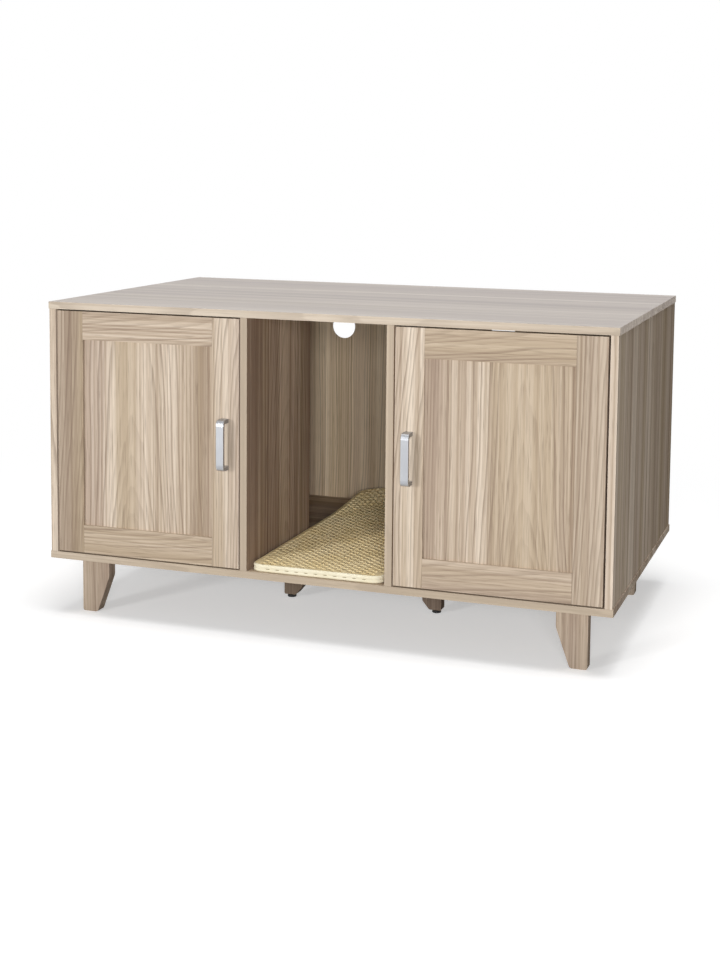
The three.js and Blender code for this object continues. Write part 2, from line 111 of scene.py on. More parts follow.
class Signal:
    """A shader socket that takes part in Python expressions, adding Math nodes as it goes."""

    def __init__(self, nodes: "Nodes", socket: Any) -> None:
        """Keeps the socket and the nodes that it belongs to."""
        self.nodes = nodes
        self.socket = socket

    def _math(self, operation: str, first: Any, second: Any = None) -> "Signal":
        """Adds one Math node and returns its output."""
        inputs = {0: first} if second is None else {0: first, 1: second}
        return self.nodes.node("ShaderNodeMath", {"operation": operation}, inputs)

    def __add__(self, other: Any) -> "Signal":
        """Sum."""
        return self._math("ADD", self, other)

    def __radd__(self, other: Any) -> "Signal":
        """Sum, reflected."""
        return self._math("ADD", other, self)

    def __sub__(self, other: Any) -> "Signal":
        """Difference."""
        return self._math("SUBTRACT", self, other)

    def __rsub__(self, other: Any) -> "Signal":
        """Difference, reflected."""
        return self._math("SUBTRACT", other, self)

    def __mul__(self, other: Any) -> "Signal":
        """Product."""
        return self._math("MULTIPLY", self, other)

    def __rmul__(self, other: Any) -> "Signal":
        """Product, reflected."""
        return self._math("MULTIPLY", other, self)

    def __truediv__(self, other: Any) -> "Signal":
        """Quotient."""
        return self._math("DIVIDE", self, other)

    def __pow__(self, other: float) -> "Signal":
        """Power."""
        return self._math("POWER", self, other)

    def maximum(self, other: Any) -> "Signal":
        """The larger of the two."""
        return self._math("MAXIMUM", self, other)

    def fraction(self) -> "Signal":
        """What is left past the last whole number."""
        return self._math("FRACT", self)

    def floor(self) -> "Signal":
        """The whole number below."""
        return self._math("FLOOR", self)

    def ramp(self, low: float, high: float, start: float = 0.0, end: float = 1.0) -> "Signal":
        """Maps the span from low to high onto start to end, smoothly and clamped.

        Args:
            low: The input that gives start.
            high: The input that gives end.
            start: The output at low.
            end: The output at high.

        Returns:
            The mapped value.
        """
        settings = {"interpolation_type": "SMOOTHSTEP", "clamp": True}
        inputs = {"Value": self, "From Min": low, "From Max": high, "To Min": start, "To Max": end}
        return self.nodes.node("ShaderNodeMapRange", settings, inputs)


Value = Union[Signal, float, Point]


class Nodes:
    """One node tree, and the ways in which nodes are added to it."""

    def __init__(self, tree: Any) -> None:
        """Empties a node tree and keeps it."""
        self.tree = tree
        self.tree.nodes.clear()

    def node(
        self,
        kind: str,
        settings: Optional[dict[str, Any]] = None,
        inputs: Optional[dict[Union[str, int], Value]] = None,
        output: Union[str, int] = 0,
    ) -> Signal:
        """Adds one node.

        Args:
            kind: The node's Blender type.
            settings: Attributes that are set first; "stops" fills a colour ramp.
            inputs: Values or links of its sockets, by name or number.
            output: The socket to return.

        Returns:
            The chosen output.
        """
        made = self.tree.nodes.new(kind)
        for key, value in (settings or {}).items():
            if key == "stops":
                self._fill_ramp(made.color_ramp, value)
            else:
                setattr(made, key, value)
        for key, value in (inputs or {}).items():
            self.feed(made.inputs[key], value)
        return Signal(self, made.outputs[output])

    @staticmethod
    def _fill_ramp(ramp: Any, stops: list[tuple[float, Colour]]) -> None:
        """Writes the stops of a colour ramp.

        Args:
            ramp: The ramp.
            stops: Each stop's place and colour.
        """
        while len(ramp.elements) < len(stops):
            ramp.elements.new(1.0)
        for element, (place, colour) in zip(ramp.elements, stops):
            element.position = place
            element.color = (*colour, 1.0)

    def feed(self, socket: Any, value: Value) -> None:
        """Links a signal to a socket, or sets the socket's own value.

        Args:
            socket: The socket to feed.
            value: A signal, a number, or a colour or vector.
        """
        if isinstance(value, Signal):
            self.tree.links.new(value.socket, socket)
        elif socket.type == "RGBA" and isinstance(value, tuple):
            socket.default_value = (*value, 1.0)
        else:
            socket.default_value = value

    def finish(self, kind: str, surface: Signal) -> None:
        """Adds the tree's output node, fed by a surface shader."""
        output = self.tree.nodes.new(kind)
        self.feed(output.inputs["Surface"], surface)

    def seen_directly(self) -> Signal:
        """1 for rays from the camera, off gloss or through glass, and 0 for diffuse light.

        Returns:
            The mask.
        """
        path = self.tree.nodes.new("ShaderNodeLightPath")
        camera, glossy, clear = (
            Signal(self, path.outputs[name])
            for name in ("Is Camera Ray", "Is Glossy Ray", "Is Transmission Ray")
        )
        return camera.maximum(glossy).maximum(clear)


class Shader(Nodes):
    """One material and the nodes that its finish is written with."""

    def __init__(self, name: str) -> None:
        """Makes a material with a Principled shader and its output.

        Args:
            name: The material's name.
        """
        self.material = bpy.data.materials.new(name)
        self.material.use_nodes = True
        super().__init__(self.material.node_tree)
        self.surface = self.tree.nodes.new("ShaderNodeBsdfPrincipled")
        self.output = self.tree.nodes.new("ShaderNodeOutputMaterial")
        self.tree.links.new(self.surface.outputs["BSDF"], self.output.inputs["Surface"])

    def set(self, **sockets: Value) -> None:
        """Sets sockets of the Principled shader; an underscore in a name stands for a space."""
        for name, value in sockets.items():
            self.feed(self.surface.inputs[name.replace("_", " ")], value)

    def place(self) -> Signal:
        """The point on the piece, in its own frame, in metres."""
        return self.node("ShaderNodeTexCoord", output="Object")

    def split(self, vector: Signal) -> tuple[Signal, Signal, Signal]:
        """A vector's three parts.

        Args:
            vector: The vector.

        Returns:
            Its X, Y and Z.
        """
        first = self.node("ShaderNodeSeparateXYZ", {}, {0: vector})
        outputs = first.socket.node.outputs
        return first, Signal(self, outputs[1]), Signal(self, outputs[2])

    def upward(self) -> Signal:
        """1 where the surface faces up, and 0 on its edges and underside."""
        return self.split(self.node("ShaderNodeTexCoord", output="Normal"))[2].ramp(*FACING)

    def frontward(self) -> Signal:
        """1 where the surface faces the front, and 0 elsewhere."""
        started, full = FACING
        return self.split(self.node("ShaderNodeTexCoord", output="Normal"))[1].ramp(-started, -full)

    def stretched(self, scale: Point, shift: Point = (0.0, 0.0, 0.0)) -> Signal:
        """The point, scaled and shifted."""
        inputs = {"Vector": self.place(), "Location": shift, "Scale": scale}
        return self.node("ShaderNodeMapping", {"vector_type": "POINT"}, inputs)

    def noise(self, vector: Signal, scale: float = 1.0, detail: float = 2.0) -> Signal:
        """Soft noise from 0 to 1 over a vector."""
        return self.node("ShaderNodeTexNoise", {}, {"Vector": vector, "Scale": scale, "Detail": detail})

    def blend(self, factor: Value, first: Value, second: Value) -> Signal:
        """Mixes two colours by a factor.

        Args:
            factor: 0 gives the first colour and 1 the second.
            first: The first colour.
            second: The second colour.

        Returns:
            The mixed colour.
        """
        settings = {"data_type": "RGBA", "blend_type": "MIX", "clamp_factor": True}
        inputs = {"Factor": factor, MIX_FIRST: first, MIX_SECOND: second}
        return self.node("ShaderNodeMix", settings, inputs, MIX_RESULT)

    def bump(self, height: Signal, strength: float, distance: float) -> None:
        """Raises the surface by a height signal."""
        inputs = {"Height": height, "Strength": strength, "Distance": distance}
        self.set(Normal=self.node("ShaderNodeBump", {}, inputs))


# ---- Finishes ----


@dataclass(frozen=True)
class BoardCut:
    """How one board lies in the printed log."""

    grain: Grain
    wide: int
    thick: int
    centre: Point
    heart: float
    seed: int

    @staticmethod
    def of(node: str, grain: Grain, heart: float, seed: int) -> "BoardCut":
        """Works out a board's axes from its box.

        Args:
            node: The board's node.
            grain: The direction of its grain.
            heart: How far the log's heart lies to the side of the board's middle, in metres.
            seed: Sets the board's own stretch of the print.

        Returns:
            The cut.
        """
        low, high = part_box(node)
        size = high - low
        others = [axis for axis in range(3) if axis != grain.value]
        wide, thick = sorted(others, key=lambda axis: -size[axis])
        return BoardCut(grain, wide, thick, tuple((low + high) / 2), heart, seed)


@dataclass(frozen=True)
class Streaks:
    """Noise drawn out along the grain, in cycles per metre along and across it."""

    along: float
    across: float
    layer: float = 0.0
    detail: float = 2.0


@dataclass(frozen=True)
class WoodPrint:
    """Laminate, matt unless given a sheen, printed with straight grain and arching growth rings; it can
    carry a painted sheen on faces that point up and painted light and shade on faces that point to the
    front.
    """

    name: str
    light: Colour = srgb(227, 212, 194)
    base: Colour = srgb(196, 178, 158)
    tan: Colour = srgb(154, 134, 116)
    olive: Colour = srgb(186, 167, 140)
    rose: Colour = srgb(172, 151, 137)
    line: Colour = srgb(120, 100, 85)
    fleck: Colour = srgb(94, 77, 63)
    # Painted sheen: a pale grey laid over faces that point up, standing for the bright surround reflected
    # in them.
    painted_sheen: Colour = srgb(190, 187, 188)
    painted_sheen_share: float = 0.0
    # Painted light and shade on faces that point to the front: darker than the print on the slabs' front
    # edges, lighter than the bay's painted shade on the dividers' front edges.
    band: Colour = srgb(191, 177, 158)
    front_shading_share: float = 0.0
    roughness: float = 0.5
    sheen: float = 0.0
    ring: float = 6.5 * MM
    taper: float = 0.07
    depth: float = 60.0 * MM
    drift: float = 60.0 * MM
    sway: float = 4.0 * MM
    slow: Streaks = Streaks(1.5, 3.2, detail=1.0)
    slower: Streaks = Streaks(1.1, 2.3, 5.0, 1.0)
    quick: Streaks = Streaks(6.0, 15.0)
    ripple: Streaks = Streaks(0.9, 70.0)
    swathes: Streaks = Streaks(0.45, 7.0)
    bands: Streaks = Streaks(0.5, 30.0, detail=4.0)
    fibres: Streaks = Streaks(0.7, 190.0, detail=3.0)
    hues: Streaks = Streaks(0.4, 13.0, 9.0)
    flecks: Streaks = Streaks(18.0, 700.0, detail=1.0)
    seed_step: Point = (1.37, 2.11, 0.83)
    rippled: float = 1.1
    ring_rise: Flat = (0.25, 0.88)
    ring_fall: Flat = (0.92, 1.0)
    ring_own: tuple[float, ...] = (0.1, 1.0, 0.15, 1.0)
    ring_cut: tuple[float, ...] = (0.0, 0.4, 0.35, 1.0)
    tone_shares: Point = (0.32, 0.35, 0.33)
    tone_stops: Point = (0.40, 0.50, 0.60)
    olive_span: Flat = (0.50, 0.68)
    olive_share: float = 0.5
    rose_span: Flat = (0.50, 0.32)
    rose_share: float = 0.45
    line_share: float = 0.5
    fleck_span: Flat = (0.55, 0.74)
    fleck_share: float = 0.32
    gloss_span: Flat = (0.2, 0.8)
    rougher: float = 0.06
    smoother: float = 0.05
    relief_shares: Point = (0.6, 0.2, 0.2)
    relief: Flat = (0.16, 0.4 * MM)

    def material(self, cut: BoardCut) -> bpy.types.Material:
        """Makes the finish for one board.

        Args:
            cut: Where the board lies in the log.

        Returns:
            The board's material.
        """
        shader = Shader(f"{self.name}_{cut.grain.name.lower()}_{cut.seed:02d}")

        def streaked(streaks: Streaks) -> Signal:
            """Noise along the board's grain, from the board's own stretch of the print.

            Args:
                streaks: Which noise.

            Returns:
                The noise, from 0 to 1.
            """
            scale = [streaks.across] * 3
            scale[cut.grain.value] = streaks.along
            shift_x, shift_y, shift_z = (cut.seed * step for step in self.seed_step)
            shift = (shift_x + streaks.layer, shift_y - streaks.layer, shift_z + streaks.layer)
            return shader.noise(shader.stretched(tuple(scale), shift), detail=streaks.detail)

        # Growth rings: distances from a heart line that leans away from the board.
        parts = [part - middle for part, middle in zip(shader.split(shader.place()), cut.centre)]
        slow = streaked(self.slow) - NOISE_MIDDLE
        slower = streaked(self.slower) - NOISE_MIDDLE
        quick = streaked(self.quick) - NOISE_MIDDLE
        side = parts[cut.wide] - cut.heart + slow * self.drift + quick * self.sway
        height = parts[cut.thick] + parts[cut.grain.value] * self.taper + slower * self.drift + self.depth
        radius = (side * side + height * height) ** 0.5
        rings = radius / self.ring + (streaked(self.ripple) - NOISE_MIDDLE) * self.rippled
        phase = rings.fraction()
        own = shader.node("ShaderNodeTexWhiteNoise", {"noise_dimensions": "1D"}, {"W": rings.floor()})
        late = phase.ramp(*self.ring_rise) * (1.0 - phase.ramp(*self.ring_fall)) * own.ramp(*self.ring_own)
        late = late * (side * side / (radius * radius)).ramp(*self.ring_cut)

        # Swathes of tone and hue, fibres, and short dark flecks.
        swathes, bands, fibres = (streaked(kind) for kind in (self.swathes, self.bands, self.fibres))
        hues = streaked(self.hues)
        flecks = streaked(self.flecks)
        swathe_share, band_share, fibre_share = self.tone_shares
        tone = swathes * swathe_share + bands * band_share + fibres * fibre_share
        stops = list(zip(self.tone_stops, (self.tan, self.base, self.light)))
        colour = shader.node("ShaderNodeValToRGB", {"stops": stops}, {0: tone})
        colour = shader.blend(hues.ramp(*self.olive_span) * self.olive_share, colour, self.olive)
        colour = shader.blend(hues.ramp(*self.rose_span) * self.rose_share, colour, self.rose)
        colour = shader.blend(late * self.line_share, colour, self.line)
        colour = shader.blend(flecks.ramp(*self.fleck_span) * self.fleck_share, colour, self.fleck)
        # Painted light and shade on the faces that point to the front.
        if self.front_shading_share:
            colour = shader.blend(shader.frontward() * self.front_shading_share, colour, self.band)
        # Painted sheen on the faces that point up.
        if self.painted_sheen_share:
            colour = shader.blend(shader.upward() * self.painted_sheen_share, colour, self.painted_sheen)
        gloss = (self.roughness + self.rougher, self.roughness - self.smoother)
        shader.set(
            Base_Color=colour,
            Roughness=fibres.ramp(*self.gloss_span, *gloss),
            Specular_IOR_Level=self.sheen,
        )
        raised, dotted, sunk = self.relief_shares
        shader.bump(fibres * raised + flecks * dotted - late * sunk, *self.relief)
        return shader.material


@dataclass(frozen=True)
class Metal:
    """Metal with a fine brushed grain."""

    name: str
    colour: Colour
    roughness: float
    stroke: Point = (900.0, 900.0, 30.0)
    cloud: Point = (40.0, 40.0, 40.0)
    brushed_span: Flat = (0.3, 0.7)
    brushed_share: float = 0.7
    dark: float = 0.86
    cloud_gloss: float = 0.12
    stroke_gloss: float = 0.1
    relief: Flat = (0.1, 0.1 * MM)

    def material(self) -> bpy.types.Material:
        """Makes the metal.

        Returns:
            The material.
        """
        shader = Shader(self.name)
        grain = shader.noise(shader.stretched(self.stroke))
        cloud = shader.noise(shader.stretched(self.cloud))
        gloss = (cloud - NOISE_MIDDLE) * self.cloud_gloss + (grain - NOISE_MIDDLE) * self.stroke_gloss
        darker = tuple(value * self.dark for value in self.colour)
        brushed = grain.ramp(*self.brushed_span) * self.brushed_share
        shader.set(
            Base_Color=shader.blend(brushed, self.colour, darker),
            Roughness=self.roughness + gloss,
            Metallic=1.0,
        )
        shader.bump(grain, *self.relief)
        return shader.material


@dataclass(frozen=True)
class Plastic:
    """Moulded plastic with a fine spark-eroded texture."""

    name: str
    colour: Colour
    roughness: float
    texture_scale: float = 1600.0
    worn_scale: float = 55.0
    worn_detail: float = 3.0
    worn_span: Flat = (0.5, 0.8)
    worn_share: float = 0.5
    lighter: float = 1.35
    least: float = 0.01
    gloss_span: Flat = (0.3, 0.7)
    smoother: float = 0.06
    rougher: float = 0.08
    relief: Flat = (0.2, 0.1 * MM)

    def material(self) -> bpy.types.Material:
        """Makes the plastic.

        Returns:
            The material.
        """
        shader = Shader(self.name)
        texture = shader.noise(shader.stretched(EVEN), self.texture_scale)
        worn = shader.noise(shader.stretched(EVEN), self.worn_scale, self.worn_detail)
        lighter = tuple(min(1.0, value * self.lighter + self.least) for value in self.colour)
        gloss = (self.roughness - self.smoother, self.roughness + self.rougher)
        shader.set(
            Base_Color=shader.blend(worn.ramp(*self.worn_span) * self.worn_share, self.colour, lighter),
            Roughness=texture.ramp(*self.gloss_span, *gloss),
        )
        shader.bump(texture, *self.relief)
        return shader.material


@dataclass(frozen=True)
class Foam:
    """Soft closed-cell foam, a little dusty and uneven in colour."""

    name: str
    colour: Colour
    shade: Colour
    roughness: float = 0.78
    cell_scale: float = 900.0
    cloud_scale: float = 14.0
    detail: float = 3.0
    cloud_span: Flat = (0.3, 0.75)
    cloud_share: float = 0.55
    cell_share: float = 0.25
    cell_span: Flat = (0.3, 0.7)
    smoother: float = 0.05
    rougher: float = 0.1
    sheen: float = 0.15
    relief: Flat = (0.25, 0.3 * MM)

    def material(self) -> bpy.types.Material:
        """Makes the foam.

        Returns:
            The material.
        """
        shader = Shader(self.name)
        cells = shader.noise(shader.stretched(EVEN), self.cell_scale, self.detail)
        cloud = shader.noise(shader.stretched(EVEN), self.cloud_scale, self.detail)
        shaded = cloud.ramp(*self.cloud_span) * self.cloud_share + cells * self.cell_share
        gloss = (self.roughness - self.smoother, self.roughness + self.rougher)
        shader.set(
            Base_Color=shader.blend(shaded, self.colour, self.shade),
            Roughness=cells.ramp(*self.cell_span, *gloss),
            Specular_IOR_Level=self.sheen,
        )
        shader.bump(cells, *self.relief)
        return shader.material


BOARD_PRINT = WoodPrint("board_print")
# A lighter copy of the board print: painted light on the back panel, which the lamps barely reach through
# the bay.
BACK_LIGHT_PRINT = WoodPrint(
    "back_print",
    light=srgb(243, 224, 195),
    base=srgb(216, 194, 165),
    tan=srgb(164, 140, 113),
    olive=srgb(204, 183, 146),
    rose=srgb(190, 163, 142),
)
# The bottom board, with painted shade on its front edge.
SLAB_PRINT = WoodPrint("slab_print", front_shading_share=0.5)
# The top: painted sheen on its upper face, painted shade on its front edge, and a real specular sheen.
TOP_PRINT = WoodPrint("top_print", painted_sheen_share=0.5, front_shading_share=0.6, roughness=0.46, sheen=0.3)
# A darker copy of the board print: painted shade on the hinge stiles and the legs.
SHADE_PRINT = WoodPrint(
    "shade_print",
    light=srgb(206, 190, 171),
    base=srgb(180, 162, 143),
    tan=srgb(148, 129, 112),
    olive=srgb(170, 151, 122),
    rose=srgb(160, 140, 126),
)
# A darker, browner copy of the board print: painted shade on the dividers inside the bay; their front
# edges take the lighter front colour.
BAY_SHADE_PRINT = WoodPrint(
    "bay_print",
    light=srgb(214, 192, 168),
    base=srgb(170, 146, 124),
    tan=srgb(118, 95, 77),
    olive=srgb(162, 141, 112),
    rose=srgb(142, 116, 99),
    line=srgb(92, 73, 60),
    front_shading_share=0.7,
)
# A much darker copy of the board print: painted shade on the centre supports under the cabinet.
SUPPORT_SHADE_PRINT = WoodPrint(
    "support_print",
    light=srgb(138, 122, 108),
    base=srgb(124, 108, 95),
    tan=srgb(110, 95, 83),
    olive=srgb(116, 102, 86),
    rose=srgb(114, 98, 88),
    line=srgb(84, 70, 60),
)
HANDLE_METAL = Metal("satin_aluminium", srgb(170, 172, 176), 0.36)
ZINC_STEEL = Metal("zinc_steel", srgb(186, 188, 190), 0.32, (60.0, 60.0, 60.0))
GLIDE_BLACK = Plastic("glide_black", srgb(26, 25, 25), 0.5)
CATCH_WHITE = Plastic("catch_white", srgb(221, 219, 213), 0.4)
MAT_FOAM = Foam("mat_foam", srgb(252, 234, 190), srgb(240, 217, 160))
# Dark brown foam: painted shade in the honeycomb's holes, on their walls and on the lower layer seen
# through them.
MAT_HOLE_SHADE = Foam("mat_foam_deep", srgb(44, 27, 14), srgb(32, 20, 11))
MAT_EDGE = Foam("mat_edge", srgb(238, 231, 208), srgb(228, 218, 187), 0.7)
STITCH_THREAD = Foam("stitch_thread", srgb(140, 120, 78), srgb(112, 94, 58), 0.8)


# ---- Mesh helpers ----


def dress(piece: bpy.types.Object, material: bpy.types.Material) -> None:
    """Gives a piece its only material, in its only material slot.

    Args:
        piece: The object.
        material: Its material.
    """
    piece.data.materials.clear()
    piece.data.materials.append(material)


def soften(piece: bpy.types.Object, width: float, segments: int = 2, angle: float = 40.0) -> None:
    """Rounds a piece's sharp edges.

    Args:
        piece: The object.
        width: The width of the rounding, in metres.
        segments: How many faces it has.
        angle: Edges sharper than this many degrees are rounded.
    """
    bevel = piece.modifiers.new("eased_edges", "BEVEL")
    bevel.width = width
    bevel.segments = segments
    bevel.limit_method = "ANGLE"
    bevel.angle_limit = math.radians(angle)


def shade_smooth(piece: bpy.types.Object, angle: float = 35.0) -> None:
    """Shades a piece smoothly across edges flatter than an angle.

    Args:
        piece: The object.
        angle: The angle in degrees.
    """
    for polygon in piece.data.polygons:
        polygon.use_smooth = True
    modifier = piece.modifiers.new("smooth_by_angle", "EDGE_SPLIT")
    modifier.split_angle = math.radians(angle)


def mesh_object(name: str, build: Filler) -> bpy.types.Object:
    """Makes an object from a function that fills a bmesh.

    Args:
        name: The object's name.
        build: Fills the bmesh, in metres in the part's frame.

    Returns:
        The linked object.
    """
    working = bmesh.new()
    build(working)
    bmesh.ops.recalc_face_normals(working, faces=working.faces)
    mesh = bpy.data.meshes.new(name)
    working.to_mesh(mesh)
    working.free()
    piece = bpy.data.objects.new(name, mesh)
    bpy.context.scene.collection.objects.link(piece)
    return piece


def add_disc(
    working: bmesh.types.BMesh, centre: Vector, axis: Vector, profile: Iterable[Flat], sides: int
) -> None:
    """Adds a turned piece: a profile of (radius, distance along the axis) round an axis.

    Args:
        working: The bmesh to add to.
        centre: Where the axis starts.
        axis: The axis's direction.
        profile: Rings from first to last; the ends are closed.
        sides: How many sides the rings have.
    """
    turn = Vector((0, 0, 1)).rotation_difference(axis).to_matrix()
    rings = []
    for radius, along in profile:
        ring = []
        for index in range(sides):
            angle = 2 * math.pi * index / sides
            local = Vector((radius * math.cos(angle), radius * math.sin(angle), along))
            ring.append(working.verts.new(centre + turn @ local))
        rings.append(ring)
    for lower, upper in zip(rings[:-1], rings[1:]):
        for index in range(sides):
            following = (index + 1) % sides
            working.faces.new((lower[index], lower[following], upper[following], upper[index]))
    working.faces.new(rings[0][::-1])
    working.faces.new(rings[-1])


# ---- Sub-assemblies ----


@dataclass
class BoardDressing:
    """Prints and eased edges for every board that the CAD model carries."""

    nodes: dict[str, bpy.types.Object]
    edge: float = 0.6 * MM
    segments: int = 2
    leg_edge: float = 2.2 * MM
    leg_segments: int = 3
    straight: float = 0.16
    door_hearts: dict[str, float] = field(default_factory=lambda: {"left": -0.03, "right": 0.05})
    top_heart: float = 0.12
    back_heart: float = 0.05
    side_heart: float = 0.06
    divider_heart: float = 0.04
    stile_heart: float = 0.07
    rail_heart: float = 0.05
    seed: int = 1

    def _board(
        self,
        node: str,
        grain: Grain,
        heart: Optional[float] = None,
        wood: WoodPrint = BOARD_PRINT,
        edge: Optional[float] = None,
    ) -> None:
        """Dresses one board with its own stretch of the print.

        Args:
            node: The board's node.
            grain: The direction of its grain.
            heart: How far the rings' heart lies beside its middle; straight grain if not given.
            wood: The print.
            edge: The width of its rounded edges, if more than eased.
        """
        board = self.nodes[node]
        beside = self.straight if heart is None else heart
        dress(board, wood.material(BoardCut.of(node, grain, beside, self.seed)))
        soften(board, edge or self.edge, self.leg_segments if edge else self.segments)
        self.seed += 1

    def build(self) -> None:
        """Dresses the carcass, the doors, the legs and the centre supports."""
        self._board("top_panel", Grain.ALONG_X, self.top_heart, TOP_PRINT)
        self._board("bottom_panel", Grain.ALONG_X, None, SLAB_PRINT)
        self._board("back_panel", Grain.ALONG_Z, self.back_heart, BACK_LIGHT_PRINT)
        for side in SIDE_NAMES:
            self._board(f"{side}_side_panel", Grain.ALONG_Z, self.side_heart)
            self._board(f"{side}_divider", Grain.ALONG_Z, self.divider_heart, BAY_SHADE_PRINT)
            self._board(f"{side}_door_panel", Grain.ALONG_Z, self.door_hearts[side])
            self._board(f"{side}_door_hinge_stile", Grain.ALONG_Z, self.stile_heart, SHADE_PRINT)
            self._board(f"{side}_door_latch_stile", Grain.ALONG_Z, self.stile_heart)
            for part in ("top_rail", "bottom_rail"):
                self._board(f"{side}_door_{part}", Grain.ALONG_X, self.rail_heart)
            self._board(f"front_{side}_leg", Grain.ALONG_Z, None, SHADE_PRINT, self.leg_edge)
            self._board(f"rear_{side}_leg", Grain.ALONG_Z, None, SHADE_PRINT, self.leg_edge)
            self._board(f"{side}_centre_support", Grain.ALONG_Z, None, SUPPORT_SHADE_PRINT, self.leg_edge)
        LOG.info("boards dressed: %d", self.seed - 1)


@dataclass
class Hardware:
    """Handles, screws, hinges, catches, bolts and glides."""

    nodes: dict[str, bpy.types.Object]
    handle_edge: float = 1.6 * MM
    handle_segments: int = 4
    small_edge: float = 0.3 * MM
    sharp: float = 30.0

    def _finish(self, node: str, material: bpy.types.Material, edge: float, segments: int = 2) -> None:
        """Dresses one piece of hardware.

        Args:
            node: The piece's node.
            material: Its material.
            edge: The width of its rounded edges.
            segments: How many faces the rounding has.
        """
        piece = self.nodes[node]
        dress(piece, material)
        soften(piece, edge, segments, self.sharp)
        shade_smooth(piece)

    def build(self) -> None:
        """Dresses every piece of hardware."""
        aluminium = HANDLE_METAL.material()
        steel = ZINC_STEEL.material()
        white = CATCH_WHITE.material()
        black = GLIDE_BLACK.material()
        for side in SIDE_NAMES:
            self._finish(f"{side}_handle", aluminium, self.handle_edge, self.handle_segments)
            self._finish(f"{side}_magnetic_catch", white, self.small_edge)
            self._finish(f"{side}_strike_plate", steel, self.small_edge)
            self._finish(f"{side}_levelling_glide", black, self.small_edge)
            for level in HINGE_LEVELS:
                self._finish(f"{side}_{level}_handle_screw", steel, self.small_edge)
                for part in ("cup", "link", "arm"):
                    self._finish(f"{side}_{level}_hinge_{part}", steel, self.small_edge)
            for place in (f"front_{side}_leg", f"rear_{side}_leg", f"{side}_centre_support"):
                self._finish(f"{place}_bolt", steel, self.small_edge)
        LOG.info("hardware dressed")


@dataclass
class CamLocks:
    """Cam locks that hold the standing boards, as discs on the faces inside the side compartments.

    The profile gives each ring's radius and its distance from the board in millimetres, from the
    foot of the rim to the driver's recess.
    """

    profile: tuple[Flat, ...] = (
        (7.5, 0.0), (7.5, 0.35), (7.05, 0.5), (3.0, 0.5), (2.4, 0.2), (0.72, 0.15)
    )
    sides: int = 24
    from_edge: float = 24.0 * MM
    side_rows: Flat = (60.0 * MM, 600.0 * MM)
    divider_rows: Flat = (50.0 * MM, 280.0 * MM)

    def _discs(self, board: str, facing: float, rows: Flat) -> Filler:
        """Returns a function that adds the discs of one board.

        Args:
            board: The CAD node that carries them.
            facing: 1 if they are on its +X face, and -1 on its -X face.
            rows: Their distances from the board's front edge.

        Returns:
            The function that fills a bmesh.
        """
        low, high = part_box(board)
        face = high.x if facing > 0 else low.x

        def fill(working: bmesh.types.BMesh) -> None:
            """Adds a disc with a raised rim and a driver recess at each place.

            Args:
                working: The bmesh to add to.
            """
            profile = [(radius * MM, along * MM) for radius, along in self.profile]
            for row in rows:
                for height in (low.z + self.from_edge, high.z - self.from_edge):
                    centre = Vector((face, low.y + row, height))
                    add_disc(working, centre, Vector((facing, 0, 0)), profile, self.sides)

        return fill

    def build(self) -> None:
        """Adds the cam locks of all four standing boards."""
        steel = ZINC_STEEL.material()
        for side, sign in zip(SIDE_NAMES, (-1.0, 1.0)):
            for board, facing, rows in (
                (f"{side}_side_panel", -sign, self.side_rows),
                (f"{side}_divider", sign, self.divider_rows),
            ):
                piece = mesh_object(f"{board}_cam_locks", self._discs(board, facing, rows))
                dress(piece, steel)
                shade_smooth(piece)
                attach(piece, "root")
        LOG.info("cam locks added")


